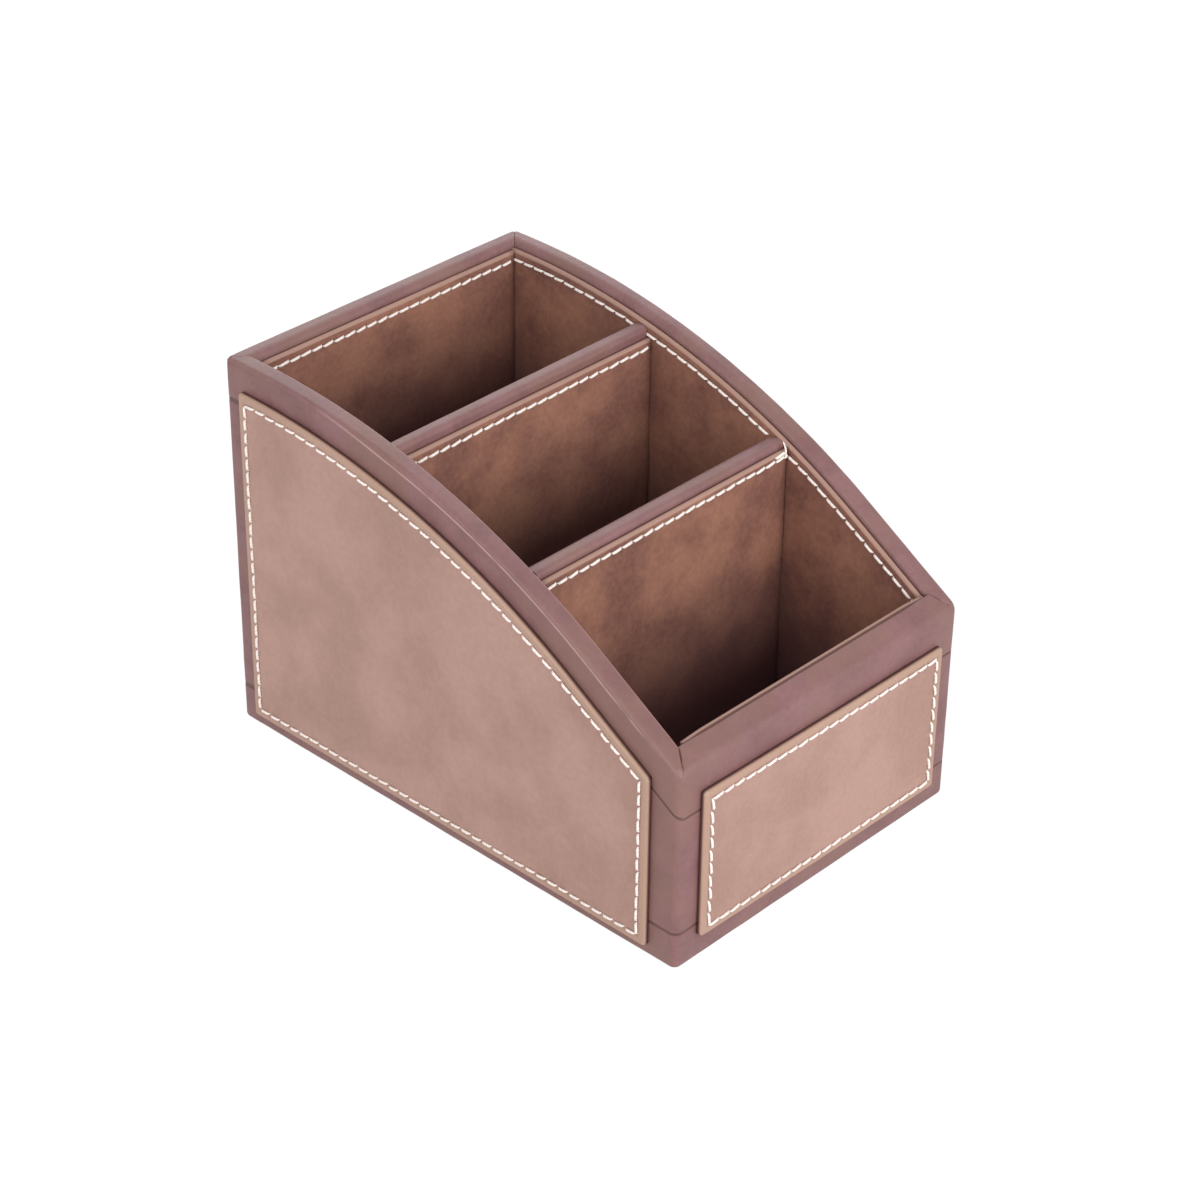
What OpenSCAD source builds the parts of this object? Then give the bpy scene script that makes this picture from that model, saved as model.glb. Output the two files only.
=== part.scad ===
// Open upright box for keeping remote controls in: three compartments, one behind
// the other, under a rim that falls in a curve from the high back to the low front.
// Boards are wrapped in a thin sheet, and each outer face carries a raised, sewn panel.
// +Z is up, -Y is the low front, +Y is the high back, X runs from side to side.
// The origin is under the middle of the box, on the surface it stands on.

/* [Piece] */
// Piece to show, or all of them

/* [Box] */
// Width over the two side walls
body_w = 116.2; // [100:0.1:135]
// Depth over the front and back walls
body_d = 175.5; // [160:0.5:195]
// Height of the rim at the back
back_h = 122.7; // [112:0.1:140]
// Length of the level part of the rim, at the back
rim_level = 12.3; // [8:0.1:20]
// Radius of the curved part of the rim
rim_radius = 247; // [215:1:270]
// Slope of the straight part of the rim at the front, in degrees
rim_slope = 31.7; // [26:0.1:34]
// Thickness of a wall, board and wrapping together
wall_t = 6.1; // [4.6:0.1:7.5]
// Thickness of the floor board
floor_t = 4.2; // [2.5:0.1:7]

/* [Wrapping] */
// Thickness of the wrapping sheet
skin_t = 0.8; // [0.5:0.05:1]
// How far the rim wrapping is turned down outside
rim_turn = 12.4; // [10:0.1:16]
// How far the rim wrapping is turned down inside
rim_tuck = 9; // [7:0.1:14]
// Rounding of the wrapped rim
rim_round = 1.6; // [0.5:0.1:1.8]
// Rounding of the sharp inner edge of the sloping front rim
front_inner_round = 1.1; // [0.4:0.1:1.2]
// Rounding of the upright corners
corner_round = 2; // [1:0.1:2.2]
// How far a corner wrapping reaches along each face
corner_lap = 11.5; // [10:0.1:16]
// Height of the bottom wrapping
foot_turn = 12.7; // [9.5:0.1:15]
// How far the bottom wrapping is turned under
foot_tuck = 10; // [7:0.1:16]
// Thickness of the base sheet
base_t = 0.8; // [0.5:0.1:2]
// How far the base sheet stays back from the edge
base_back = 3; // [2:0.1:6]

/* [Panels] */
// How far a panel stands out from its wall
panel_t = 2; // [1.4:0.1:3]
// Bare strip in front of a side panel
side_panel_front = 9.7; // [6:0.1:11]
// Bare strip behind a side panel
side_panel_rear = 7.6; // [6:0.1:9.5]
// Bare strip above a side panel
side_panel_top = 9.1; // [5:0.1:12]
// Bare strip below a side panel
side_panel_foot = 5.8; // [4:0.1:9]
// Bare strip beside the front and back panels
end_panel_edge = 8.1; // [5:0.1:9.5]
// Bare strip above the front and back panels
end_panel_top = 9.2; // [6:0.1:11]
// Bare strip below the front and back panels
end_panel_foot = 8.2; // [5:0.1:10]

/* [Linings] */
// Thickness of a lining
lining_t = 1.8; // [1:0.1:2.5]
// How far the side linings end below the rim
side_lining_drop = 2.1; // [1.8:0.1:4]
// How far the front lining ends below the rim
front_lining_drop = 1; // [0.9:0.1:3]
// How far the back lining ends below the rim
back_lining_drop = 2.4; // [1.8:0.1:4]
// Thickness of the floor linings
floor_lining_t = 1; // [0.6:0.1:2]

/* [Dividers] */
// Thickness of a divider, board and wrapping together
divider_t = 4.8; // [3.6:0.1:6]
// Distance from the front of the box to the middle of the front divider
front_divider_at = 61.85; // [52:0.05:68]
// Distance from the back of the box to the middle of the rear divider
rear_divider_at = 60.55; // [52:0.05:68]
// How far the middle of a divider's top is below the rim
divider_drop = 3.5; // [2.5:0.1:12]
// How far a divider's wrapping is turned down on each face
divider_turn = 12; // [8:0.1:16]
// How far the linings end below the top of the front divider
front_divider_step = 1.8; // [1.5:0.1:4]
// How far the linings end below the top of the rear divider
rear_divider_step = 2.8; // [1.5:0.1:4]

/* [Stitching] */
// Distance from one stitch to the next
stitch_pitch = 4.2; // [3.5:0.1:6]
// Length of the thread that shows in one stitch
stitch_l = 3.4; // [2:0.1:3.4]
// Radius of the thread
thread_r = 0.42; // [0.25:0.01:0.6]
// Slant of each stitch against its seam, in degrees
stitch_slant = 9; // [0:0.5:14]
// Distance of the seam from the edge of a panel
panel_seam = 2.9; // [2:0.1:4]
// Distance of the seam from the top edge of a lining
lining_seam = 2.7; // [2:0.1:4]

/* [Hidden] */
$fn = 96;
// Overrun of the cuts past the faces they cut
cut = 1;
half_w = body_w / 2;
half_d = body_d / 2;
board_t = wall_t - 2 * skin_t;
card_t = panel_t - skin_t;
in_w = half_w - wall_t;
in_d = half_d - wall_t;
room_w = in_w - lining_t;
room_d = in_d - lining_t;
board_z = base_t + skin_t;
floor_z = board_z + floor_t;
y_level = half_d - rim_level;
// Small angle at which the level and the sloping line cut across the curve
rim_blend = 0.5;
arc_z = back_h - rim_radius * cos(rim_blend);
front_h = rim_z(-half_d, 0);
front_y = front_divider_at - half_d;
rear_y = half_d - rear_divider_at;
front_top_z = rim_z(front_y, 0) - divider_drop;
rear_top_z = rim_z(rear_y, 0) - divider_drop;
side_marks = curve_marks(side_panel_top + panel_seam, -half_d + side_panel_front + panel_seam,
    half_d - side_panel_rear - panel_seam);
lining_marks = curve_marks(side_lining_drop + lining_seam, -room_d, room_d);

// Where the curved rim starts and ends, lowered square to itself by drop

function slope_y(drop) = y_level - (rim_radius - drop) * sin(rim_slope);
function slope_z(drop) = arc_z + (rim_radius - drop) * cos(rim_slope);

// Height of the sloping line of the lowered rim, at a place along the depth
function line_z(y, drop) = arc_z + (back_h - drop - arc_z) / cos(rim_slope) - (y_level - y) * tan(rim_slope);

// Height of the rim, lowered square to itself by drop, at a place along the depth
function rim_z(y, drop) =
    y >= y_level ? back_h - drop :
    y <= slope_y(drop) ? line_z(y, drop) :
    min(back_h - drop, line_z(y, drop), arc_z + sqrt(pow(rim_radius - drop, 2) - pow(y_level - y, 2)));

// Stitches of one straight seam as [across, up, angle]
function line_marks(p, q) =
    let (l = norm(q - p), n = max(1, round(l / stitch_pitch)), a = atan2(q[1] - p[1], q[0] - p[0]))
    [for (i = [0:n - 1]) [p[0] + (q[0] - p[0]) * (i + 1 / 2) / n, p[1] + (q[1] - p[1]) * (i + 1 / 2) / n, a]];

// One stitch at a length s along the lowered rim, counted from the start of its level part
function rim_mark(s, drop) =
    let (r = rim_radius - drop, arc = r * rim_slope * PI / 180, a = s / r * 180 / PI)
    s < 0 ? [y_level - s, back_h - drop, 0] :
    s < arc ? [y_level - r * sin(a), arc_z + r * cos(a), a] :
    [slope_y(drop) - (s - arc) * cos(rim_slope), slope_z(drop) - (s - arc) * sin(rim_slope), rim_slope];

// Stitches along the lowered rim from y_a at the front to y_b at the back
function curve_marks(drop, y_a, y_b) =
    let (s_a = y_level - y_b, arc = (rim_radius - drop) * rim_slope * PI / 180,
         s_b = arc + (slope_y(drop) - y_a) / cos(rim_slope), n = round((s_b - s_a) / stitch_pitch))
    [for (i = [0:n - 1]) rim_mark(s_a + (s_b - s_a) * (i + 1 / 2) / n, drop)];

// Flat outline, depth across and height up, of everything under the lowered rim
module under_rim(drop) {
    y_end = -half_d - cut;
    far = rim_radius + cut;
    y_far = y_level - far * sin(rim_slope);
    difference() {
        translate([y_end, 0])
            square([body_d + 2 * cut, back_h - drop]);
        polygon([[y_end, line_z(y_end, drop)], [y_level, line_z(y_level, drop)], [y_end, line_z(y_level, drop)]]);
        difference() {
            polygon([[y_level, arc_z], [y_level, arc_z + far], [y_far, arc_z + far],
                [y_far, arc_z + far * cos(rim_slope)]]);
            translate([y_level, arc_z])
                circle(r = rim_radius - drop, $fn = 720);
        }
    }
}

// The same outline kept between two depths and above a height
module under_rim_between(drop, y_a, y_b, z_a) {
    intersection() {
        under_rim(drop);
        translate([y_a, z_a])
            square([y_b - y_a, back_h - z_a]);
    }
}

// Stands a depth and height outline up and gives it a thickness along X
module slab(x_a, x_b) {
    translate([x_a, 0, 0])
        rotate([90, 0, 90])
            linear_extrude(height = x_b - x_a)
                children();
}

module block(a, b) {
    translate(a)
        cube(b - a);
}

// What a rounding of radius r takes off a corner v whose edges leave at angles a and b
module round_cut(v, a, b, r) {
    half = abs(b - a) / 2;
    tangent = r / tan(half);
    mid = (a + b) / 2;
    c = v + r / sin(half) * [cos(mid), sin(mid)];
    difference() {
        polygon([2 * v - c, v + tangent * [cos(a), sin(a)], c, v + tangent * [cos(b), sin(b)]]);
        translate(c)
            circle(r = r);
    }
}

// Plan of the box with its rounded upright corners
module plan() {
    difference() {
        translate([-half_w, -half_d])
            square([body_w, body_d]);
        round_cut([-half_w, -half_d], 0, 90, corner_round);
        round_cut([half_w, -half_d], 90, 180, corner_round);
        round_cut([half_w, half_d], 180, 270, corner_round);
        round_cut([-half_w, half_d], 270, 360, corner_round);
    }
}

module plan_solid() {
    linear_extrude(height = back_h + cut)
        plan();
}

// Ground of the left and of the front wrapping between the mitres at their ends
module left_mitre() {
    e = 3 * wall_t;
    linear_extrude(height = back_h + cut)
        polygon([[-half_w, -half_d], [-half_w + e, -half_d + e], [-half_w + e, half_d - e], [-half_w, half_d]]);
}

module front_mitre() {
    e = 3 * wall_t;
    linear_extrude(height = back_h + cut)
        polygon([[-half_w, -half_d], [half_w, -half_d], [half_w - e, -half_d + e], [-half_w + e, -half_d + e]]);
}

// Sweeps a section along the rim: outward from the centre of the curve and across the wall
module along_rim() {
    straight = (slope_y(0) + half_d) / cos(rim_slope) + rim_turn + cut;
    lap = 2 * rim_radius * sin(rim_blend);
    dip = rim_radius * (1 - cos(rim_blend));
    translate([-half_w, y_level, arc_z])
        rotate([180, -90, 0]) {
            translate([-dip, lap, 0])
                rotate([90, 0, 0])
                    linear_extrude(height = rim_level + lap + cut)
                        children();
            rotate_extrude(angle = rim_slope, $fn = 720)
                children();
            rotate([0, 0, rim_slope])
                translate([-dip, straight, 0])
                    rotate([90, 0, 0])
                        linear_extrude(height = straight + lap)
                            children();
        }
}

module side_rim_wrap() {
    intersection() {
        difference() {
            slab(-half_w, -in_w)
                under_rim_between(0, -half_d, half_d, board_z);
            slab(-half_w - cut, -in_w - skin_t)
                under_rim_between(rim_turn, -half_d - cut, half_d + cut, 0);
            slab(-half_w + skin_t, -in_w - skin_t)
                under_rim_between(skin_t, -half_d - cut, half_d + cut, 0);
            slab(-in_w - skin_t - cut / 2, -in_w + cut)
                under_rim_between(rim_tuck, -half_d - cut, half_d + cut, 0);
            along_rim()
                round_cut([rim_radius, 0], 90, 180, rim_round);
            along_rim()
                round_cut([rim_radius, wall_t], 180, 270, rim_round);
        }
        left_mitre();
        plan_solid();
    }
}

// Left board: the steps on its faces, between the edges of the wrappings, reach into its middle
module side_board() {
    middle = -half_w + wall_t / 2;
    slab(-half_w + skin_t, -in_w - skin_t)
        under_rim_between(skin_t, -half_d + skin_t, half_d - skin_t, board_z);
    slab(-half_w, middle)
        under_rim_between(rim_turn, -half_d + corner_lap, half_d - corner_lap, foot_turn);
    slab(middle, -in_w) {
        under_rim_between(rim_tuck, -half_d + skin_t, half_d - skin_t, board_z);
        under_rim_between(skin_t, -half_d + skin_t, -in_d - skin_t, board_z);
        under_rim_between(skin_t, in_d + skin_t, half_d - skin_t, board_z);
    }
}

// Plan of the wrapping of the front left corner
module corner_plan() {
    intersection() {
        plan();
        difference() {
            translate([-half_w, -half_d])
                square(corner_lap);
            translate([-half_w + skin_t, -half_d + skin_t])
                square(corner_lap);
        }
    }
}

// Stands up the plan of a left corner's wrapping, from the bottom wrapping to the rim wrapping
module corner_wrap() {
    intersection() {
        translate([0, 0, foot_turn])
            linear_extrude(height = back_h)
                children();
        slab(-half_w - cut, -half_w + corner_lap + cut)
            under_rim(rim_turn);
    }
}

// Side panel on the left wall: its outline, smaller all round by inset
module side_panel_shape(inset) {
    under_rim_between(side_panel_top + inset, -half_d + side_panel_front + inset,
        half_d - side_panel_rear - inset, side_panel_foot + inset);
}

module side_card() {
    slab(-half_w - card_t, -half_w)
        side_panel_shape(skin_t);
}

module side_cover() {
    difference() {
        slab(-half_w - panel_t, -half_w)
            side_panel_shape(0);
        slab(-half_w - card_t, -half_w + cut)
            side_panel_shape(skin_t);
    }
}

// Front or back panel on the plane y = 0, standing out towards -Y, up to top_z
module end_card(top_z) {
    x = half_w - end_panel_edge - skin_t;
    block([-x, -card_t, end_panel_foot + skin_t], [x, 0, top_z - skin_t]);
}

module end_cover(top_z) {
    x = half_w - end_panel_edge;
    difference() {
        block([-x, -panel_t, end_panel_foot], [x, 0, top_z]);
        block([-x + skin_t, -card_t, end_panel_foot + skin_t], [x - skin_t, cut, top_z - skin_t]);
    }
}

// One stitch lying along X on the plane z = 0
module stitch() {
    rotate([90, 0, 90])
        linear_extrude(height = stitch_l, center = true)
            intersection() {
                circle(r = thread_r, $fn = 24);
                translate([-thread_r, 0])
                    square([2 * thread_r, thread_r]);
            }
}

// Stitches on an upright face: turn is 0 for a face towards -Y, 90 towards +X
module seam(marks, turn) {
    rotate([90, 0, turn])
        for (m = marks)
            translate([m[0], m[1], 0])
                rotate([0, 0, m[2] + stitch_slant])
                    stitch();
}

// Seam round the left panel, seen from outside with the front at the right
module side_seam() {
    rear = side_panel_rear + panel_seam - half_d;
    front = half_d - side_panel_front - panel_seam;
    z = side_panel_foot + panel_seam;
    drop = side_panel_top + panel_seam;
    translate([-half_w - panel_t, 0, 0]) {
        seam([for (m = side_marks) [-m[0], m[1], -m[2]]], -90);
        seam(line_marks([rear, z], [front, z]), -90);
        seam(line_marks([front, z], [front, rim_z(-front, drop)]), -90);
        seam(line_marks([rear, rim_z(-rear, drop)], [rear, z]), -90);
    }
}

module end_seam(top_z, turn) {
    x = half_w - end_panel_edge - panel_seam;
    z_a = end_panel_foot + panel_seam;
    z_b = top_z - panel_seam;
    rotate([0, 0, turn])
        translate([0, -half_d - panel_t, 0]) {
            seam(line_marks([-x, z_a], [x, z_a]), 0);
            seam(line_marks([x, z_a], [x, z_b]), 0);
            seam(line_marks([x, z_b], [-x, z_b]), 0);
            seam(line_marks([-x, z_b], [-x, z_a]), 0);
        }
}

// Seam of the left lining, left out where a divider covers it
module side_lining_seam() {
    clear = divider_t / 2 + lining_t + stitch_l / 2;
    marks = [for (m = lining_marks) if (abs(m[0] - front_y) > clear && abs(m[0] - rear_y) > clear) m];
    translate([-room_w, 0, 0])
        seam([for (m = marks) [m[0], m[1], m[2]]], 90);
}

// Seam across a lining whose face is at y, looking towards -Y or, turned, towards +Y
module cross_seam(y, z, turn) {
    translate([0, y, 0])
        seam(line_marks([-room_w, z], [room_w, z]), turn);
}

module divider_board(y, top_z) {
    x = room_w;
    core = divider_t / 2 - skin_t;
    block([-x, y - core, floor_z], [x, y + core, top_z - skin_t]);
    block([-x, y - divider_t / 2, floor_z], [x, y + divider_t / 2, top_z - divider_turn]);
}

module divider_cap(y, top_z) {
    half = divider_t / 2;
    slab(-room_w, room_w)
        difference() {
            translate([y - half, top_z - divider_turn])
                square([divider_t, divider_turn]);
            translate([y - half + skin_t, top_z - divider_turn - cut])
                square([divider_t - 2 * skin_t, divider_turn + cut - skin_t]);
            round_cut([y - half, top_z], 270, 360, rim_round);
            round_cut([y + half, top_z], 180, 270, rim_round);
        }
}

module divider_lining(y_a, top_z) {
    block([-room_w, y_a, floor_z], [room_w, y_a + lining_t, top_z]);
}

module floor_lining(y_a, y_b) {
    block([-room_w, y_a, floor_z], [room_w, y_b, floor_z + floor_lining_t]);
}

// Takes the rounding off one long bottom edge, the one at the left or at the front
module left_foot_cut() {
    translate([0, half_d + cut, 0])
        rotate([90, 0, 0])
            linear_extrude(height = body_d + 2 * cut)
                round_cut([-half_w, base_t], 0, 90, rim_round);
}

module front_foot_cut() {
    slab(-half_w - cut, half_w + cut)
        round_cut([-half_d, base_t], 0, 90, rim_round);
}

// Boards

module left_side_board() {
    color([0.55, 0.43, 0.31])
        side_board();
}

module right_side_board() {
    color([0.55, 0.43, 0.31])
        mirror([1, 0, 0])
            side_board();
}

module back_board() {
    middle = half_d - wall_t / 2;
    color([0.55, 0.43, 0.31]) {
        block([-in_w, in_d + skin_t, board_z], [in_w, half_d - skin_t, back_h - skin_t]);
        block([-half_w + corner_lap, middle, foot_turn], [half_w - corner_lap, half_d, back_h - rim_turn]);
        block([-in_w, in_d, board_z], [in_w, middle, back_h - rim_tuck]);
    }
}

module front_board() {
    middle = -half_d + wall_t / 2;
    color([0.55, 0.43, 0.31]) {
        slab(-in_w, in_w)
            under_rim_between(skin_t, -half_d + skin_t, -in_d - skin_t, board_z);
        slab(-half_w + corner_lap, half_w - corner_lap)
            under_rim_between(rim_turn, -half_d, middle, foot_turn);
        slab(-in_w, in_w)
            under_rim_between(rim_tuck, middle, -in_d, board_z);
    }
}

module floor_board() {
    x = half_w - foot_tuck;
    y = half_d - foot_tuck;
    color([0.55, 0.43, 0.31]) {
        block([-in_w, -in_d, board_z], [in_w, in_d, floor_z]);
        block([-x, -y, base_t], [x, y, floor_z]);
    }
}

module front_divider_board() {
    color([0.55, 0.43, 0.31])
        divider_board(front_y, front_top_z);
}

module rear_divider_board() {
    color([0.55, 0.43, 0.31])
        divider_board(rear_y, rear_top_z);
}

// Wrapping

module left_rim_wrap() {
    color([0.42, 0.29, 0.28])
        side_rim_wrap();
}

module right_rim_wrap() {
    color([0.42, 0.29, 0.28])
        mirror([1, 0, 0])
            side_rim_wrap();
}

module back_rim_wrap() {
    color([0.42, 0.29, 0.28])
        intersection() {
            slab(-half_w, half_w)
                difference() {
                    translate([in_d, back_h - rim_turn])
                        square([wall_t, rim_turn]);
                    translate([in_d + skin_t, back_h - rim_turn - cut])
                        square([board_t, rim_turn + cut - skin_t]);
                    translate([in_d - cut, back_h - rim_turn - cut])
                        square([cut + wall_t - skin_t, rim_turn + cut - rim_tuck]);
                    round_cut([in_d, back_h], 270, 360, rim_round);
                    round_cut([half_d, back_h], 180, 270, rim_round);
                }
            mirror([0, 1, 0])
                front_mitre();
            plan_solid();
        }
}

module front_rim_wrap() {
    color([0.42, 0.29, 0.28])
        intersection() {
            slab(-half_w, half_w)
                difference() {
                    under_rim_between(0, -half_d, -in_d, board_z);
                    under_rim_between(rim_turn, -half_d - cut, -in_d - skin_t, 0);
                    under_rim_between(skin_t, -half_d + skin_t, -in_d - skin_t, 0);
                    under_rim_between(rim_tuck, -in_d - skin_t - cut / 2, -in_d + cut, 0);
                    round_cut([-half_d, front_h], -90, rim_slope, rim_round);
                    round_cut([-in_d, rim_z(-in_d, 0)], 180 + rim_slope, 270, front_inner_round);
                }
            front_mitre();
            plan_solid();
        }
}

module front_left_corner_wrap() {
    color([0.42, 0.29, 0.28])
        corner_wrap()
            corner_plan();
}

module front_right_corner_wrap() {
    color([0.42, 0.29, 0.28])
        mirror([1, 0, 0])
            corner_wrap()
                corner_plan();
}

module back_left_corner_wrap() {
    color([0.42, 0.29, 0.28])
        corner_wrap()
            mirror([0, 1])
                corner_plan();
}

module back_right_corner_wrap() {
    color([0.42, 0.29, 0.28])
        mirror([1, 0, 0])
            corner_wrap()
                mirror([0, 1])
                    corner_plan();
}

module bottom_wrap() {
    x = half_w - foot_tuck;
    y = half_d - foot_tuck;
    color([0.42, 0.29, 0.28])
        difference() {
            translate([0, 0, base_t])
                linear_extrude(height = foot_turn - base_t)
                    plan();
            block([-half_w + skin_t, -half_d + skin_t, board_z], [half_w - skin_t, half_d - skin_t, foot_turn + cut]);
            block([-x, -y, 0], [x, y, foot_turn]);
            left_foot_cut();
            front_foot_cut();
            mirror([1, 0, 0])
                left_foot_cut();
            mirror([0, 1, 0])
                front_foot_cut();
        }
}

module front_divider_cap() {
    color([0.42, 0.29, 0.28])
        divider_cap(front_y, front_top_z);
}

module rear_divider_cap() {
    color([0.42, 0.29, 0.28])
        divider_cap(rear_y, rear_top_z);
}

// Raised panels

module left_panel_card() {
    color([0.6, 0.5, 0.4])
        side_card();
}

module left_panel_cover() {
    color([0.6, 0.45, 0.4])
        side_cover();
}

module left_panel_stitching() {
    color([0.93, 0.88, 0.83])
        side_seam();
}

module right_panel_card() {
    color([0.6, 0.5, 0.4])
        mirror([1, 0, 0])
            side_card();
}

module right_panel_cover() {
    color([0.6, 0.45, 0.4])
        mirror([1, 0, 0])
            side_cover();
}

module right_panel_stitching() {
    color([0.93, 0.88, 0.83])
        mirror([1, 0, 0])
            side_seam();
}

module front_panel_card() {
    color([0.6, 0.5, 0.4])
        translate([0, -half_d, 0])
            end_card(front_h - end_panel_top);
}

module front_panel_cover() {
    color([0.6, 0.45, 0.4])
        translate([0, -half_d, 0])
            end_cover(front_h - end_panel_top);
}

module front_panel_stitching() {
    color([0.93, 0.88, 0.83])
        end_seam(front_h - end_panel_top, 0);
}

module back_panel_card() {
    color([0.6, 0.5, 0.4])
        translate([0, half_d, 0])
            rotate([0, 0, 180])
                end_card(back_h - end_panel_top);
}

module back_panel_cover() {
    color([0.6, 0.45, 0.4])
        translate([0, half_d, 0])
            rotate([0, 0, 180])
                end_cover(back_h - end_panel_top);
}

module back_panel_stitching() {
    color([0.93, 0.88, 0.83])
        end_seam(back_h - end_panel_top, 180);
}

// Linings

module left_lining() {
    color([0.42, 0.26, 0.2])
        slab(-in_w, -room_w)
            under_rim_between(side_lining_drop, -in_d, in_d, floor_z);
}

module left_lining_stitching() {
    color([0.93, 0.88, 0.83])
        side_lining_seam();
}

module right_lining() {
    color([0.42, 0.26, 0.2])
        slab(room_w, in_w)
            under_rim_between(side_lining_drop, -in_d, in_d, floor_z);
}

module right_lining_stitching() {
    color([0.93, 0.88, 0.83])
        mirror([1, 0, 0])
            side_lining_seam();
}

module back_lining() {
    color([0.42, 0.26, 0.2])
        block([-room_w, room_d, floor_z], [room_w, in_d, back_h - back_lining_drop]);
}

module back_lining_stitching() {
    color([0.93, 0.88, 0.83])
        cross_seam(room_d, back_h - back_lining_drop - lining_seam, 0);
}

module front_lining() {
    color([0.42, 0.26, 0.2])
        slab(-room_w, room_w)
            under_rim_between(front_lining_drop, -in_d, -room_d, floor_z);
}

module front_lining_stitching() {
    color([0.93, 0.88, 0.83])
        cross_seam(-room_d, rim_z(-room_d, front_lining_drop) - lining_seam, 180);
}

module front_divider_front_lining() {
    color([0.42, 0.26, 0.2])
        divider_lining(front_y - divider_t / 2 - lining_t, front_top_z - front_divider_step);
}

module front_divider_front_stitching() {
    color([0.93, 0.88, 0.83])
        cross_seam(front_y - divider_t / 2 - lining_t, front_top_z - front_divider_step - lining_seam, 0);
}

module front_divider_rear_lining() {
    color([0.42, 0.26, 0.2])
        divider_lining(front_y + divider_t / 2, front_top_z - front_divider_step);
}

module front_divider_rear_stitching() {
    color([0.93, 0.88, 0.83])
        cross_seam(front_y + divider_t / 2 + lining_t, front_top_z - front_divider_step - lining_seam, 180);
}

module rear_divider_front_lining() {
    color([0.42, 0.26, 0.2])
        divider_lining(rear_y - divider_t / 2 - lining_t, rear_top_z - rear_divider_step);
}

module rear_divider_front_stitching() {
    color([0.93, 0.88, 0.83])
        cross_seam(rear_y - divider_t / 2 - lining_t, rear_top_z - rear_divider_step - lining_seam, 0);
}

module rear_divider_rear_lining() {
    color([0.42, 0.26, 0.2])
        divider_lining(rear_y + divider_t / 2, rear_top_z - rear_divider_step);
}

module rear_divider_rear_stitching() {
    color([0.93, 0.88, 0.83])
        cross_seam(rear_y + divider_t / 2 + lining_t, rear_top_z - rear_divider_step - lining_seam, 180);
}

module front_floor_lining() {
    color([0.35, 0.22, 0.18])
        floor_lining(-room_d, front_y - divider_t / 2 - lining_t);
}

module middle_floor_lining() {
    color([0.35, 0.22, 0.18])
        floor_lining(front_y + divider_t / 2 + lining_t, rear_y - divider_t / 2 - lining_t);
}

module rear_floor_lining() {
    color([0.35, 0.22, 0.18])
        floor_lining(rear_y + divider_t / 2 + lining_t, room_d);
}

// Underneath

module base_sheet() {
    x = half_w - base_back;
    y = half_d - base_back;
    color([0.5, 0.42, 0.34])
        block([-x, -y, 0], [x, y, base_t]);
}

left_side_board();
right_side_board();
back_board();
front_board();
floor_board();
front_divider_board();
rear_divider_board();
left_rim_wrap();
right_rim_wrap();
back_rim_wrap();
front_rim_wrap();
front_left_corner_wrap();
front_right_corner_wrap();
back_left_corner_wrap();
back_right_corner_wrap();
bottom_wrap();
front_divider_cap();
rear_divider_cap();
left_panel_card();
left_panel_cover();
left_panel_stitching();
right_panel_card();
right_panel_cover();
right_panel_stitching();
front_panel_card();
front_panel_cover();
front_panel_stitching();
back_panel_card();
back_panel_cover();
back_panel_stitching();
left_lining();
left_lining_stitching();
right_lining();
right_lining_stitching();
back_lining();
back_lining_stitching();
front_lining();
front_lining_stitching();
front_divider_front_lining();
front_divider_front_stitching();
front_divider_rear_lining();
front_divider_rear_stitching();
rear_divider_front_lining();
rear_divider_front_stitching();
rear_divider_rear_lining();
rear_divider_rear_stitching();
front_floor_lining();
middle_floor_lining();
rear_floor_lining();
base_sheet();
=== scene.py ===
import math
import random

import bmesh
import bpy
from mathutils import Matrix, Vector, kdtree, noise


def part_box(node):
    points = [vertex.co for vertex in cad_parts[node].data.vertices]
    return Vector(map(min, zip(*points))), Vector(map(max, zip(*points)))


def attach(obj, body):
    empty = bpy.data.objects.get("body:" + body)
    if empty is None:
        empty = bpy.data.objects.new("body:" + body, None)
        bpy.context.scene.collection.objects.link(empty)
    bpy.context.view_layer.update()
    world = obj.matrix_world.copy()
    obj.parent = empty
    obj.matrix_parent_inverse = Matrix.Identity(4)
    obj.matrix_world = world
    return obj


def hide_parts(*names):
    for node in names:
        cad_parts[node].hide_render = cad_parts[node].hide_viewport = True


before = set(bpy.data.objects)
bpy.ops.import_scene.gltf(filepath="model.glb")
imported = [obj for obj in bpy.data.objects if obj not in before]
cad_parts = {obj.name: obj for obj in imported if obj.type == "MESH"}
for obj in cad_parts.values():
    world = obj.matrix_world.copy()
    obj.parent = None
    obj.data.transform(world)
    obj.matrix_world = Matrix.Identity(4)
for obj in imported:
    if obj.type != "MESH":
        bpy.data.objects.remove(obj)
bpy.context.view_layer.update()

mm = 0.001

# Camera
# It stands where the photographer stood, beyond the front left corner of the box and above
# it, 0.93 m from the middle of the box. The picture is square, so the lens is given for the
# whole width of the sensor.

camera_place = Vector((-0.57233, -0.53940, 0.55225))
camera_aim = Vector((-0.00063, -0.00463, 0.05673))
camera_roll = math.radians(0.74)
camera_sensor = 36
camera_lens = 97.15
clip_range = (0.05, 50)

camera_data = bpy.data.cameras.new("camera")
camera_data.sensor_width = camera_sensor
camera_data.lens = camera_lens
camera_data.clip_start, camera_data.clip_end = clip_range
camera = bpy.data.objects.new("camera", camera_data)
bpy.context.scene.collection.objects.link(camera)
aiming = (camera_aim - camera_place).to_track_quat("-Z", "Y").to_matrix()
aiming = aiming @ Matrix.Rotation(camera_roll, 3, "Z")
camera.matrix_world = Matrix.Translation(camera_place) @ aiming.to_4x4()
bpy.context.scene.camera = camera
bpy.context.scene.view_settings.view_transform = "Standard"

# Room
# A white tent: pale floor, even light from all sides and large soft lamps. The camera and
# the reflections see plain white, and the floor keeps a little of the shadow.

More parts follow.
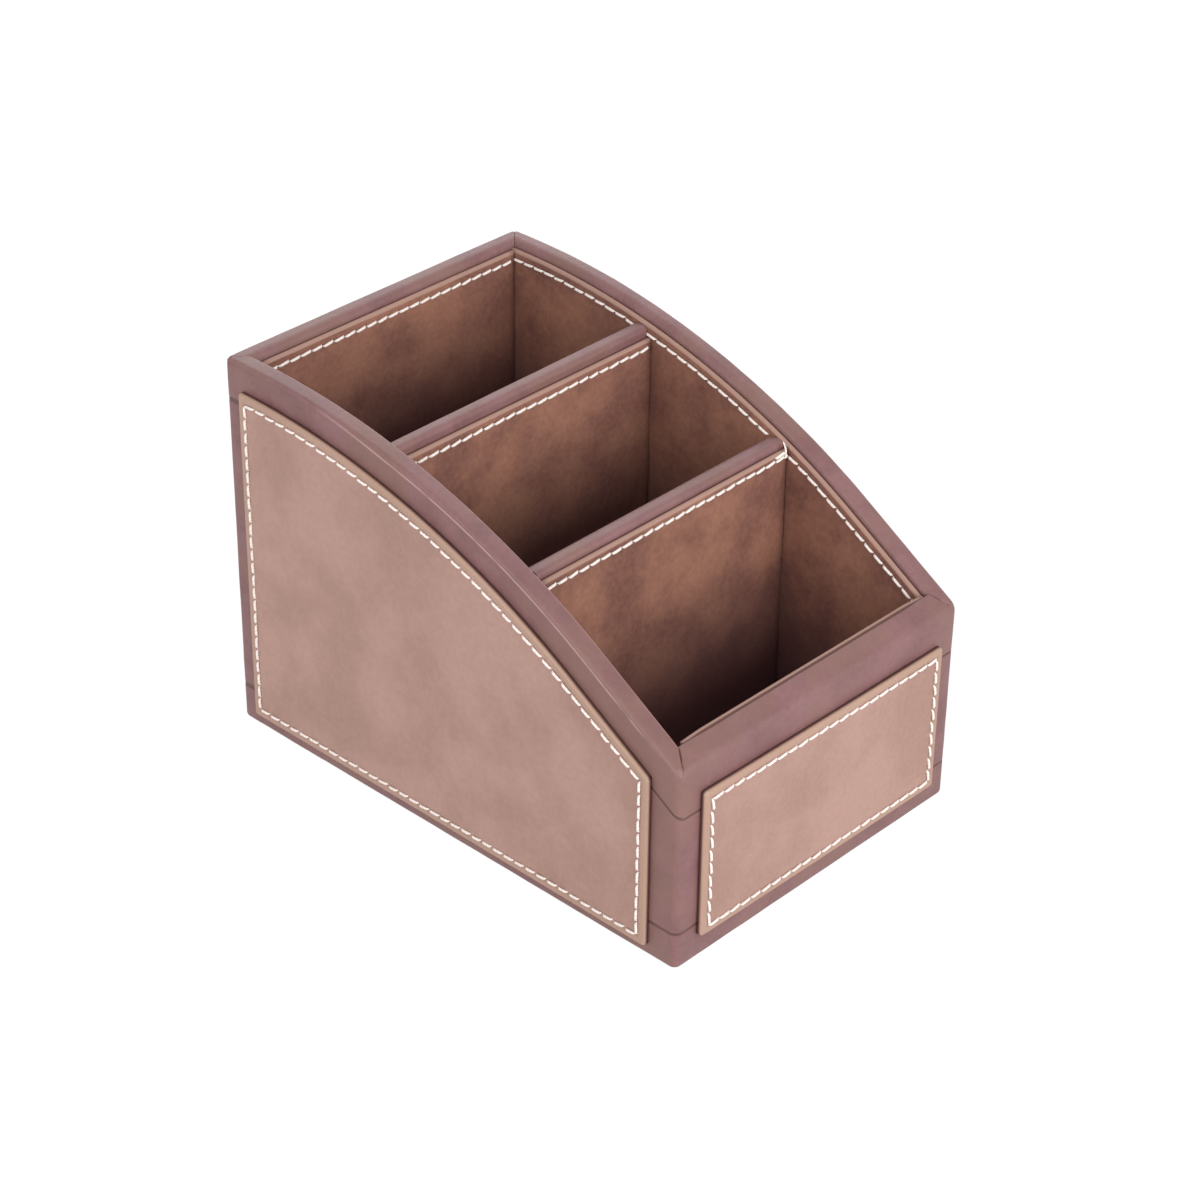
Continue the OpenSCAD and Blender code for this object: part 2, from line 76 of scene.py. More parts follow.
floor_size = 8
floor_colour = (0.65, 0.65, 0.65, 1)
floor_shadow = 0.12
floor_glow = 1.1
tent_light = 0.53
white = (1, 1, 1, 1)
# Place and size of each lamp in metres, and its power in watts
lamps = {
    "lamp_left": ((-1.6, -0.2, 0.5), 1.2, 14),
    "lamp_front": ((0.0, -1.6, 0.65), 1.2, 21),
    "lamp_behind": ((1.2, 1.2, 1.0), 1.6, 14),
}


def add(tree, kind, inputs=None, **settings):
    """One shader node with its settings and its inputs, which are values or sockets to link."""
    node = tree.nodes.new("ShaderNode" + kind)
    for name, value in settings.items():
        setattr(node, name, value)
    for name, value in (inputs or {}).items():
        if isinstance(value, bpy.types.NodeSocket):
            tree.links.new(value, node.inputs[name])
        else:
            node.inputs[name].default_value = value
    return node


def seen_plainly(tree):
    """1 for what the camera, a reflection or a clear surface sees, and 0 for light."""
    path = add(tree, "LightPath")
    either = add(tree, "Math", {0: path.outputs["Is Camera Ray"], 1: path.outputs["Is Glossy Ray"]},
                 operation="MAXIMUM")
    return add(tree, "Math", {0: either.outputs[0], 1: path.outputs["Is Transmission Ray"]},
               operation="MAXIMUM").outputs[0]


def softbox(name, place, size, power):
    """A square lamp that faces the box."""
    data = bpy.data.lights.new(name, "AREA")
    data.size = size
    data.energy = power
    lamp = bpy.data.objects.new(name, data)
    bpy.context.scene.collection.objects.link(lamp)
    facing = (camera_aim - Vector(place)).to_track_quat("-Z", "Y").to_matrix().to_4x4()
    lamp.matrix_world = Matrix.Translation(place) @ facing


world = bpy.data.worlds.new("tent")
bpy.context.scene.world = world
world.use_nodes = True
tree = world.node_tree
tree.nodes.clear()
light = add(tree, "Background", {"Color": white, "Strength": tent_light})
plain = add(tree, "Background", {"Color": white, "Strength": 1})
both = add(tree, "MixShader", {0: seen_plainly(tree), 1: light.outputs[0], 2: plain.outputs[0]})
add(tree, "OutputWorld", {"Surface": both.outputs[0]})

for name, (place, size, power) in lamps.items():
    softbox(name, place, size, power)

floor_material = bpy.data.materials.new("floor_white")
floor_material.use_nodes = True
tree = floor_material.node_tree
tree.nodes.clear()
paper = add(tree, "BsdfDiffuse", {"Color": floor_colour})
glow = add(tree, "Emission", {"Color": white, "Strength": floor_glow})
share = add(tree, "Math", {0: seen_plainly(tree), 1: 1 - floor_shadow}, operation="MULTIPLY")
both = add(tree, "MixShader", {0: share.outputs[0], 1: paper.outputs[0], 2: glow.outputs[0]})
add(tree, "OutputMaterial", {"Surface": both.outputs[0]})

bm = bmesh.new()
bmesh.ops.create_grid(bm, x_segments=4, y_segments=4, size=floor_size / 2)
floor_mesh = bpy.data.meshes.new("floor")
bm.to_mesh(floor_mesh)
bm.free()
floor_mesh.materials.append(floor_material)
floor = bpy.data.objects.new("floor", floor_mesh)
bpy.context.scene.collection.objects.link(floor)

# Boards and cards
# The walls, the floor and the two dividers are fibreboard, and each outer panel has a card
# inside. They are glued up first, and the coverings then hide them on every side.

board_colour = (0.50, 0.37, 0.24, 1)
board_dark = (0.36, 0.25, 0.15, 1)
card_colour = (0.56, 0.47, 0.36, 1)
card_dark = (0.44, 0.36, 0.27, 1)
fibre_size = 0.9 * mm
# (detail, low, high)
fibre_noise = (4, 0.35, 0.65)
patch_roughness = 0.55
board_relief = 0.05 * mm
card_relief = 0.03 * mm
fibre_shine = (0.92, 0.2)


def new_finish(name, shine):
    """A material with its shader, ready for colour and relief, from its (roughness, gloss)."""
    roughness, gloss = shine
    material = bpy.data.materials.new(name)
    material.use_nodes = True
    shader = material.node_tree.nodes["Principled BSDF"]
    shader.inputs["Roughness"].default_value = roughness
    shader.inputs["Specular IOR Level"].default_value = gloss
    return material, material.node_tree, shader


def blend(tree, share, a, b):
    """Two colours mixed by a share, each a value or a socket."""
    node = add(tree, "Mix", data_type="RGBA")
    for index, value in ((0, share), (6, a), (7, b)):
        if isinstance(value, bpy.types.NodeSocket):
            tree.links.new(value, node.inputs[index])
        else:
            node.inputs[index].default_value = value
    return node.outputs[2]


def spread_over(tree, value, low, high, first=0, last=1):
    """A value spread smoothly from first at low to last at high."""
    return add(tree, "MapRange", {0: value, 1: low, 2: high, 3: first, 4: last},
               interpolation_type="SMOOTHSTEP").outputs[0]


def mottle(tree, place, size, detail, low, high):
    """Soft patches of one size: 0 where the noise is under low, 1 over high."""
    spots = add(tree, "TexNoise", {"Vector": place, "Scale": 1 / size, "Detail": detail,
                                    "Roughness": patch_roughness})
    return spread_over(tree, spots.outputs[0], low, high)


def raise_relief(tree, shader, layers):
    """Relief from (height socket, depth in metres) layers, added one on another."""
    normal = None
    for height, depth in layers:
        bump = add(tree, "Bump", {"Height": height, "Distance": depth, "Strength": 1})
        if normal:
            tree.links.new(normal, bump.inputs["Normal"])
        normal = bump.outputs[0]
    tree.links.new(normal, shader.inputs["Normal"])


def pressed_fibre(name, colour, dark, fibre, depth):
    """Pressed fibres, as in fibreboard, grey card and felt."""
    material, tree, shader = new_finish(name, fibre_shine)
    place = add(tree, "TexCoord").outputs["Object"]
    fibres = mottle(tree, place, fibre, *fibre_noise)
    tree.links.new(blend(tree, fibres, colour, dark), shader.inputs["Base Color"])
    raise_relief(tree, shader, [(fibres, depth)])
    return material


fibreboard = pressed_fibre("fibreboard", board_colour, board_dark, fibre_size, board_relief)
grey_card = pressed_fibre("grey_card", card_colour, card_dark, fibre_size, card_relief)
for name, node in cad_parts.items():
    if name.endswith(("_board", "_card")):
        node.data.materials.clear()
        node.data.materials.append(fibreboard if name.endswith("_board") else grey_card)

# Base sheet
# A plain pale sheet glued under the floor, a little smaller than the box. Its cut edge is
# slightly ragged and shows as a thin line at the foot of the box.

base_colour = (0.44, 0.33, 0.25, 1)
base_dark = (0.30, 0.22, 0.16, 1)
base_fibre = 0.6 * mm
base_relief = 0.08 * mm
base_ragged = 0.5 * mm
base_tear = 1.6 * mm
base_pitch = 1.5 * mm
base_edge_angle = 0.7


def finish_mesh(bm, name, material_slot, material, *replaced):
    """Makes the mesh a piece of the box that stands for the CAD nodes named."""
    mesh = bpy.data.meshes.new(name)
    bm.to_mesh(mesh)
    bm.free()
    mesh.polygons.foreach_set("use_smooth", [True] * len(mesh.polygons))
    mesh.materials.append(material)
    piece = bpy.data.objects.new(name, mesh)
    bpy.context.scene.collection.objects.link(piece)
    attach(piece, "root")
    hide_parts(*replaced)


def sharpen(bm, angle):
    """Marks the edges that turn by more than an angle, so that smooth shading stops there."""
    for edge in bm.edges:
        edge.smooth = len(edge.link_faces) == 2 and edge.calc_face_angle() < angle


base_low, base_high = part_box("base_sheet")
bm = bmesh.new()
base_steps = [round((base_high[axis] - base_low[axis]) / base_pitch) for axis in (0, 1)]
outline = [(i / base_steps[0], 0) for i in range(base_steps[0])]
outline += [(1, i / base_steps[1]) for i in range(base_steps[1])]
outline += [(1 - a, 1 - b) for a, b in outline]
ring = bmesh.ops.create_circle(bm, cap_ends=True, segments=len(outline), radius=1)["verts"]
for (across, along), vert in zip(outline, ring):
    spot = Vector((across - 0.5, along - 0.5, 0)) * 2
    ragged = 1 + base_ragged / base_high.x * noise.noise(spot * base_high.y / base_tear)
    vert.co = Vector((spot.x * base_high.x, spot.y * base_high.y, 0)) * ragged
grown = bmesh.ops.extrude_face_region(bm, geom=bm.faces[:])["geom"]
bmesh.ops.translate(bm, verts=[g for g in grown if isinstance(g, bmesh.types.BMVert)],
                    vec=(0, 0, base_high.z))
bmesh.ops.recalc_face_normals(bm, faces=bm.faces)
sharpen(bm, base_edge_angle)
felt = pressed_fibre("base_felt", base_colour, base_dark, base_fibre, base_relief)
finish_mesh(bm, "base_felt", "base", felt, "base_sheet")

# Bottom wrapping
# A band of the dark leather-look sheet round the foot of the box. It is glued up the walls,
# turned under the rounded bottom edge and covered there by the base sheet.

rim_low, rim_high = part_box("left_rim_wrap")
foot_low, foot_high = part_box("bottom_wrap")
half_w = foot_high.x
half_d = foot_high.y
rim_top = rim_high.z
wall_t = rim_high.x - rim_low.x
foot_top = foot_high.z
skin_t = 0.8 * mm
corner_round = 2.4 * mm
corner_steps = 6
least_round = 0.2 * mm
seam_dip = 0.1 * mm
soft_dip = 0.3 * seam_dip
# (inset, distance from the edge) where a wrapping dips into the seam at its edge
seam_edge = [(seam_dip, 0), (soft_dip, 0.25 * mm), (0, 0.75 * mm)]
foot_flat = 5 * mm
foot_round = 1.6 * mm
foot_tuck = 10 * mm
wrap_pitch = 2.5 * mm
wrap_wave = 0.07 * mm
# (broad size, fine size, share of the fine wave, how far the whole sinks in)
wrap_ripple = (14 * mm, 5 * mm, 0.5, 0.6)
fold_angle = 1
fold_steps = 6

wrap_shades = ((0.175, 0.078, 0.078, 1), (0.251, 0.121, 0.124, 1))
wrap_brown = (0.222, 0.116, 0.090, 1)
# Colour of the worn crease, which also carries a painted highlight, and of the painted highlight on the
# rim's inner edge
wrap_wear_and_highlight = (0.42, 0.26, 0.24, 1)
# Colour of the painted shade in the seams and in the mitres' grooves
wrap_seam_shade = (0.085, 0.030, 0.026, 1)
# Patches are (size, detail, low, high). Grain is (size, depth), times rough_scales for the rough
# layer under its pebbles.
wrap_clouds = (13 * mm, 3, 0.3, 0.7)
brown_clouds = (24 * mm, 2, 0.4, 0.65)
brown_share = 0.55
speck_patches = (1.6 * mm, 4, 0.25, 0.75)
speck_share = 0.35
wrap_grain = (0.42 * mm, 0.03 * mm)
grain_smoothness = 0.4
rough_scales = (3, 1.5)
rough_noise = (3, 0.25, 0.75)
wrap_shine = (0.5, 0.5)

# Wear and painted highlight lie at a drop below the rim's top, in millimetres: the crease is worn and
# also carries a painted highlight, and the inner edge a painted highlight only. The (low, high, first,
# last) spreads are the drop of the crease along the box, its fading in and out, and the darkness of the
# painted shade in a seam.
crease_drop = (16 * mm, 60 * mm, 1.6, 0.5)
crease_width = 0.42
crease_breaks = (7 * mm, 2, 0.2, 0.55)
crease_fade_in = (6 * mm - half_d, 18 * mm - half_d, 0, 1)
crease_fade_out = (20 * mm, 58 * mm, 1, 0.1)
# (drop, reach) and strength of the painted highlight on the rim's inner edge
inner_highlight = (-0.4, 0.4)
inner_highlight_share = 0.6
core_share = 0.4
seam_shade_spread = (0.3, 1, 0, 0.8)


def leather(name, shades, clouds, grain, shine):
    """Coated leather: clouds of two shades under a fine mottle, and a pebbled grain.

    Gives the material, its tree, its shader and the colour, which the caller links."""
    material, tree, shader = new_finish(name, shine)
    place = add(tree, "TexCoord").outputs["Object"]
    pebble, depth = grain
    clouded = blend(tree, mottle(tree, place, *clouds), *shades)
    specked = blend(tree, mottle(tree, place, *speck_patches), *shades)
    colour = blend(tree, speck_share, clouded, specked)
    cells = add(tree, "TexVoronoi", {"Vector": place, "Scale": 1 / pebble,
                                     "Smoothness": grain_smoothness}, feature="SMOOTH_F1")
    rough = mottle(tree, place, rough_scales[0] * pebble, *rough_noise)
    raise_relief(tree, shader, [(rough, rough_scales[1] * depth), (cells.outputs[0], depth)])
    return material, tree, shader, colour


def near(tree, value, at, reach):
    """1 where a value is at a mark, and 0 from reach away on."""
    away = add(tree, "Math", {0: value, 1: at}, operation="SUBTRACT")
    away = add(tree, "Math", {0: away.outputs[0]}, operation="ABSOLUTE")
    return spread_over(tree, away.outputs[0], core_share * reach, reach, 1, 0)


def wrap_finish():
    """The dark covering: a worn crease with a painted highlight below the rim's outer edge, a painted
    highlight on its inner edge, painted shade in the seams and mitres.
    """
    material, tree, shader, colour = leather("wrap_leather", wrap_shades, wrap_clouds, wrap_grain,
                                             wrap_shine)
    drop = add(tree, "Attribute", attribute_name="rim_drop").outputs["Fac"]
    place = add(tree, "TexCoord").outputs["Object"]
    browned = mottle(tree, place, *brown_clouds)
    colour = blend(tree, spread_over(tree, browned, 0, 1, 0, brown_share), colour, wrap_brown)
    along = add(tree, "SeparateXYZ", {0: place}).outputs["Y"]
    crease = spread_over(tree, along, *crease_drop)
    breaks = mottle(tree, place, *crease_breaks)
    front_fade = spread_over(tree, along, *crease_fade_in)
    back_fade = spread_over(tree, along, *crease_fade_out)
    # The worn crease with its painted highlight, then the painted highlight on the inner edge
    wear_and_highlight = near(tree, drop, crease, crease_width)
    for share in (breaks, front_fade, back_fade):
        wear_and_highlight = add(tree, "Math", {0: wear_and_highlight, 1: share}, operation="MULTIPLY").outputs[0]
    inner = near(tree, drop, *inner_highlight)
    inner = add(tree, "Math", {0: inner, 1: inner_highlight_share}, operation="MULTIPLY").outputs[0]
    wear_and_highlight = add(tree, "Math", {0: wear_and_highlight, 1: inner}, operation="MAXIMUM").outputs[0]
    # Painted shade in the seams and the mitres
    seam_shade = add(tree, "Attribute", attribute_name="seam_shade").outputs["Fac"]
    seam_shade = spread_over(tree, seam_shade, *seam_shade_spread)
    colour = blend(tree, seam_shade, blend(tree, wear_and_highlight, colour, wrap_wear_and_highlight), wrap_seam_shade)
    tree.links.new(colour, shader.inputs["Base Color"])
    return material


def plan_stations(pitch):
    """Stations round the box from the front left corner: (corner, turn, share of the side after it)."""
    stations = []
    for corner in range(4):
        stations += [(corner, i / corner_steps, 0) for i in range(corner_steps + 1)]
        steps = math.ceil(2 * (half_w if corner % 2 == 0 else half_d) / pitch)
        stations += [(corner, 1, i / steps) for i in range(1, steps)]
    return stations


def corner_spot(corner, turn, inset):
    """A place on a rounded upright corner, moved in from the faces by inset."""
    radius = max(corner_round - inset, least_round)
    sign_x = 1 if corner in (1, 2) else -1
    sign_y = 1 if corner in (2, 3) else -1
    angle = math.radians(180 + 90 * (corner + turn))
    middle = Vector((sign_x * (half_w - inset - radius), sign_y * (half_d - inset - radius), 0))
    return middle + radius * Vector((math.cos(angle), math.sin(angle), 0))


def plan_spot(station, inset):
    """The place of a station, moved in from the faces of the box by inset."""
    corner, turn, share = station
    spot = corner_spot(corner, turn, inset)
    return spot.lerp(corner_spot((corner + 1) % 4, 0, inset), share) if share else spot


def grow_rings(bm, sides, count):
    """Rings of verts, each grown out of the one before, for the caller to place."""
    index = bm.verts.layers.int["index"]
    ring = bmesh.ops.create_circle(bm, segments=sides, radius=1)["verts"]
    for place, vert in enumerate(ring):
        vert[index] = place
    edges = list({edge for vert in ring for edge in vert.link_edges})
    rings = [ring]
    for _ in range(count - 1):
        grown = bmesh.ops.extrude_edge_only(bm, edges=edges)["geom"]
        ring = sorted((g for g in grown if isinstance(g, bmesh.types.BMVert)), key=lambda v: v[index])
        held = set(ring)
        edges = [g for g in grown if isinstance(g, bmesh.types.BMEdge) and held.issuperset(g.verts)]
        rings.append(ring)
    return rings


def face_towards(bm, direction):
    """Turns a surface over if its furthest face in a direction looks the other way."""
    bm.normal_update()
    furthest = max(bm.faces, key=lambda f: f.calc_center_median().dot(direction))
    if furthest.normal.dot(direction) < 0:
        bmesh.ops.reverse_faces(bm, faces=bm.faces)


def band(pitch, profile, height, wear_and_highlight=0):
    """A closed band round the box, one ring for each (inset, drop) of its profile.

    With a nonzero scale for the wear and painted highlight, it keeps each drop in millimetres: that of
    its inner side, where the painted highlight lies, is negative, times that scale."""
    stations = plan_stations(pitch)
    bm = bmesh.new()
    bm.verts.layers.int.new("index")
    rim_drop = bm.verts.layers.float.new("rim_drop")
    seam_shade = bm.verts.layers.float.new("seam_shade")
    for row, ring in enumerate(grow_rings(bm, len(stations), len(profile))):
        inset, drop = profile[row]
        for station, vert in zip(stations, ring):
            # The two rows at the seam edge take painted shade
            vert[seam_shade] = row < 2
            spot = plan_spot(station, inset)
            vert.co = (spot.x, spot.y, height(spot.y, drop))
            if wear_and_highlight:
                vert[rim_drop] = (drop if inset < wall_t / 2 else -drop * wear_and_highlight) / mm
    face_towards(bm, Vector((1, 0, 0)))
    return bm


def ease(value, low, high):
    """A value eased from 0 at low to 1 at high."""
    share = min(1, max(0, (value - low) / (high - low)))
    return share * share * (3 - 2 * share)


def rippled(spot, ripple, seed=Vector()):
    """Height of a wave of depth 1 at a place of a sheet."""
    broad, fine, fine_share, sink = ripple
    return noise.noise(spot / broad + seed) + fine_share * noise.noise(spot / fine + seed) - sink


def thicken(bm, wave):
    """Makes a skin out of a surface: a slight wave first, then its thickness inwards."""
    bm.normal_update()
    for vert in bm.verts:
        vert.co += vert.normal * wave * rippled(vert.co, wrap_ripple)
    bmesh.ops.solidify(bm, geom=bm.faces[:], thickness=skin_t)
    sharpen(bm, fold_angle)


def quarter(radius, steps):
    """(along, across) of a quarter round that starts on one face and ends on the next."""
    turns = [math.pi / 2 * i / steps for i in range(steps + 1)]
    return [(radius * (1 - math.cos(a)), radius * (1 - math.sin(a))) for a in turns]


wrap_leather = wrap_finish()
foot_drop = foot_top - foot_low.z
foot_profile = seam_edge + [(0, foot_flat)]
foot_profile += [(along, foot_drop - across) for along, across in quarter(foot_round, fold_steps)]
foot_profile += [(foot_tuck, foot_drop)]
bm = band(wrap_pitch, foot_profile, lambda y, drop: foot_top - drop)
thicken(bm, wrap_wave)
finish_mesh(bm, "foot_wrap", "wrap", wrap_leather, "bottom_wrap")

# Corner wrappings
# Upright strips of the same sheet, glued round the four corners between the bottom
# wrapping and the rim. Each bends round its corner and has a seam above and below.

level_length = 12.3 * mm
rim_radius = 247 * mm
rim_slope = math.radians(31.7)
rim_turn = 12.4 * mm
corner_lap = 11.5 * mm
corner_rows = 24
lap_shares = (1, 0.75, 0.5, 0.25)
end_shares = (0, 0.008, 0.02)


def rim_height(y, drop=0):
    """Height of the rim at a place along the box, lowered square to itself by drop."""
    level_y = half_d - level_length
    radius = rim_radius - drop
    slope_y = level_y - radius * math.sin(rim_slope)
    if y >= level_y:
        return rim_top - drop
    if y >= slope_y:
        return rim_top - rim_radius + math.sqrt(radius ** 2 - (level_y - y) ** 2)
    return rim_top - rim_radius + radius * math.cos(rim_slope) - (slope_y - y) * math.tan(rim_slope)


def bent_grid(columns, rows, *layers):
    """A grid of verts, which the caller places: (mesh, [(vert, row, column)])."""
    bm = bmesh.new()
    for layer in layers:
        bm.verts.layers.float.new(layer)
    bmesh.ops.create_grid(bm, x_segments=columns - 1, y_segments=rows - 1, size=1)
    bm.verts.ensure_lookup_table()
    return bm, [(vert, *divmod(index, columns)) for index, vert in enumerate(bm.verts)]


def corner_strip(name, corner):
    """Strip round one upright corner, from the bottom wrapping up to the rim's wrapping."""
    arc = [corner_spot(corner, i / corner_steps, 0) for i in range(corner_steps + 1)]
    lap = corner_lap - corner_round
    back = corner_spot((corner + 3) % 4, 1, 0) - arc[0]
    ahead = corner_spot((corner + 1) % 4, 0, 0) - arc[-1]
    plan = [arc[0] + back.normalized() * lap * share for share in lap_shares] + arc
    plan += [arc[-1] + ahead.normalized() * lap * share for share in lap_shares[::-1]]
    shares = [*end_shares, *(i / corner_rows for i in range(1, corner_rows))]
    shares += [1 - share for share in end_shares[::-1]]
    dips = {0: seam_dip, 1: soft_dip, len(shares) - 2: soft_dip, len(shares) - 1: seam_dip}
    bm, spots = bent_grid(len(plan), len(shares), "seam_shade")
    for vert, row, column in spots:
        # The rows at the seams above and below take painted shade
        vert[bm.verts.layers.float["seam_shade"]] = row in dips
        spot = plan[column]
        high = rim_height(spot.y, rim_turn)
        inward = Vector((-math.copysign(1, spot.x), -math.copysign(1, spot.y), 0)) * dips.get(row, 0)
        vert.co = spot + inward
        vert.co.z = foot_top + (high - foot_top) * shares[row]
    thicken(bm, wrap_wave)
    finish_mesh(bm, name + "_skin", "wrap", wrap_leather, name)


corner_names = ("front_left_corner_wrap", "front_right_corner_wrap", "back_right_corner_wrap",
                "back_left_corner_wrap")
for corner, name in enumerate(corner_names):
    corner_strip(name, corner)

# Rim wrappings
# Four strips of the dark sheet, folded over the top edges of the walls and glued down both
# faces. They meet in mitres at the corners, where the fold sinks into a groove with painted shade.

rim_tuck = 9 * mm
rim_round = 1.6 * mm
near_round = 1.1 * mm
far_round = 2.4 * mm
inner_steps = 5
# Places of the rows of verts down the outer face, over the top and down the inner face
outer_drops = (9 * mm, 7 * mm, 5 * mm, 3.6 * mm, 2.4 * mm)
top_insets = (2.2 * mm, 2.9 * mm, 3.5 * mm)
inner_drops = (3 * mm, 4.5 * mm, 6.5 * mm)
# Only the side strips carry the worn crease with its painted highlight: the left one a painted highlight
# at its inner edge too, the right one hardly there
near_wear_and_highlight = 1
far_wear_and_highlight = 0.01
# The back corners sag a little, less with the distance from the corner and from the rim's top
corner_sag = 0.1 * mm
sag_away = (0.3 * mm, 6 * mm)
sag_below = (0.5 * mm, 6 * mm)
# The front strip stands out at its inner edge: where this comes and goes behind the front of the
# box, and where it ends below the rim's top
front_lip = 0.6 * mm
lip_rise = (3.5 * mm, 5.5 * mm)
lip_fall = (7 * mm, 14 * mm)
lip_foot = (1.2 * mm, 2.5 * mm)
# The line of a mitre is deepest at its inner end, and its painted shade is darkest there
mitre_reach = 0.45 * mm
mitre_depth = 0.6 * mm
mitre_full = 0.7 * wall_t
mitre_fade = 0.6 * wall_t
mitre_least = 0.25
mitre_shade = 0.9
cut_reach = 0.02 * mm
# Share of the painted shade in the seams and mitres kept on the front strip
front_seam_shade = 0.6
front_mitre_shift = 1.5 * mm
# The front and back strips get neither the worn crease nor the painted highlight
rims_without_wear_and_highlight = ("front_rim_wrap", "back_rim_wrap")
inner_w = half_w - wall_t
inner_d = half_d - wall_t
up = Vector((0, 0, 1))


def rim_profile(inner_round):
    """(inset, drop) from the outer lower edge of the wrapping over the rim to the inner one."""
    profile = [(dip, rim_turn - away) for dip, away in seam_edge]
    profile += [(0, drop) for drop in outer_drops]
    profile += quarter(rim_round, fold_steps)
    profile += [(inset, 0) for inset in top_insets]
    profile += [(wall_t - along, across) for along, across in quarter(inner_round, inner_steps)[::-1]]
    return profile + [(wall_t, drop) for drop in (*inner_drops, rim_tuck)]


def mitre_planes():
    """For each corner, a point of its mitre and the direction square to it, towards the next side."""
    planes = []
    for sign_x, sign_y in ((-1, -1), (1, -1), (1, 1), (-1, 1)):
        lip, shift = (front_lip, front_mitre_shift) if sign_y < 0 else (0, 0)
        near_end = Vector((sign_x * inner_w, sign_y * inner_d + lip, 0))
        far_end = Vector((sign_x * (half_w - shift), sign_y * half_d, 0))
        planes.append((near_end, up.cross((far_end - near_end).normalized())))
    return planes


def rim_strip(name, whole, before, after):
    """One side of the rim, cut out of the whole band by the mitres before and after it."""
    bm = whole.copy()
    rim_drop, seam_shade = bm.verts.layers.float["rim_drop"], bm.verts.layers.float["seam_shade"]
    for (point, across), side in ((before, 1), (after, -1)):
        inward = across * side
        for away, cut_off in ((0, True), (mitre_reach, False)):
            bmesh.ops.bisect_plane(bm, geom=bm.verts[:] + bm.edges[:] + bm.faces[:],
                                   plane_co=point + inward * away, plane_no=inward, clear_inner=cut_off)
        for vert in bm.verts:
            if abs((vert.co - point).dot(inward)) < cut_reach:
                reach = (vert.co - point).to_2d().length
                fade = 1 - min(1, max(0, reach - mitre_full) / mitre_fade)
                vert.co.z -= mitre_depth * (mitre_least + (1 - mitre_least) * fade)
                # Painted shade in the mitre's groove, darkest at its inner end
                vert[seam_shade] = max(vert[seam_shade], mitre_shade * fade)
    for vert in bm.verts:
        if name in rims_without_wear_and_highlight:
            vert[rim_drop] = 0
        # The front strip takes less painted shade
        if name == "front_rim_wrap":
            vert[seam_shade] *= front_seam_shade
    thicken(bm, wrap_wave)
    finish_mesh(bm, name + "_skin", "wrap", wrap_leather, name)


def whole_rim(inner_round, rim_wear_and_highlight):
    """The rim all round the box, with its lip in front and its softened corners at the back."""
    bm = band(wrap_pitch, rim_profile(inner_round), rim_height, rim_wear_and_highlight)
    for vert in bm.verts:
        behind, below = vert.co.y + half_d, rim_height(vert.co.y) - vert.co.z
        share = ease(behind, *lip_rise) - ease(behind, *lip_fall)
        moved = vert.co.y + front_lip * share * (1 - ease(below, *lip_foot))
        vert.co.z += rim_height(moved) - rim_height(vert.co.y)
        vert.co.y = moved
        away = math.hypot(half_w - abs(vert.co.x), half_d - moved)
        vert.co.z -= corner_sag * (1 - ease(away, *sag_away)) * (1 - ease(below, *sag_below))
    return bm


mitres = mitre_planes()
rim_names = ("front_rim_wrap", "right_rim_wrap", "back_rim_wrap", "left_rim_wrap")
near_rim = whole_rim(near_round, near_wear_and_highlight)
far_rim = whole_rim(far_round, far_wear_and_highlight)
for index, name in enumerate(rim_names):
    rim_strip(name, far_rim if index in (1, 2) else near_rim, mitres[index], mitres[(index + 1) % 4])
near_rim.free()
far_rim.free()

# Divider caps
# A strip of the same dark sheet over the top edge of each divider, glued down both faces.
# The linings of the divider cover its lower part.

cap_rounds = (1.7 * mm, 2.2 * mm)
cap_rise = 0.35 * mm
cap_pitch = 2.5 * mm
cap_shares = (1, 0.75, 0.5, 0.3)
# How far back each face of a divider stands, at its (left, right) end: front face, rear face
divider_shifts = {
    "front": ((0, 0.5 * mm), (0.6 * mm, 1.3 * mm)),
    "rear": ((0.35 * mm, 0.5 * mm), (0.8 * mm, 1.4 * mm)),
}


def cap_side(height, radius):
    """(place of the face, drop) stations up one face of a cap and over its rounded edge."""
    return [(0, height * share) for share in cap_shares] + quarter(radius, fold_steps)


def divider_cap(name):
    """The folded strip over one divider, whose faces stand a little out of square."""
    low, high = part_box(name + "_divider_cap")
    shifts = divider_shifts[name]
    height = high.z - low.z + cap_rise
    fronts, rears = (cap_side(height, radius) for radius in cap_rounds)
    steps = math.ceil((high.x - low.x) / cap_pitch)
    bm, spots = bent_grid(len(fronts) + len(rears), steps + 1)
    for vert, row, column in spots:
        share = row / steps
        front, rear = (a + (b - a) * share for a, b in shifts)
        if column < len(fronts):
            inset, drop = fronts[column]
            y = low.y + front + inset
        else:
            inset, drop = rears[len(fronts) + len(rears) - 1 - column]
            y = high.y + rear - inset
        vert.co = (low.x + (high.x - low.x) * share, y, high.z + cap_rise - drop)
    face_towards(bm, up)
    thicken(bm, wrap_wave)
    finish_mesh(bm, name + "_divider_cap_skin", "wrap", wrap_leather, name + "_divider_cap")


for name in ("front", "rear"):
    divider_cap(name)

# Panels
# Four raised panels on the outside. Each is a thin card covered with a clouded leather-look
# sheet, whose edges are turned in, and a seam runs round it near the edge. The sheet is the
# linings' leather, its colour painted paler with the sheen that its face shows.

# (radius, tuck) of the turned edge
panel_turn = (1.0 * mm, 0.6 * mm)
tuck_steps = 3
turn_steps = 4
panel_seam = 2.9 * mm
panel_corner = 1.2 * mm
panel_top_gap = 9.1 * mm
fine_pitch = 0.62 * mm
plain_pitch = 3 * mm
end_bevel = 0.4 * mm
groove_depth = 0.16 * mm
groove_reach = 0.9 * mm
hole_depth = 0.3 * mm
hole_reach = 0.6 * mm
hole_search = 4 * hole_reach
path_pitch = 1 * mm
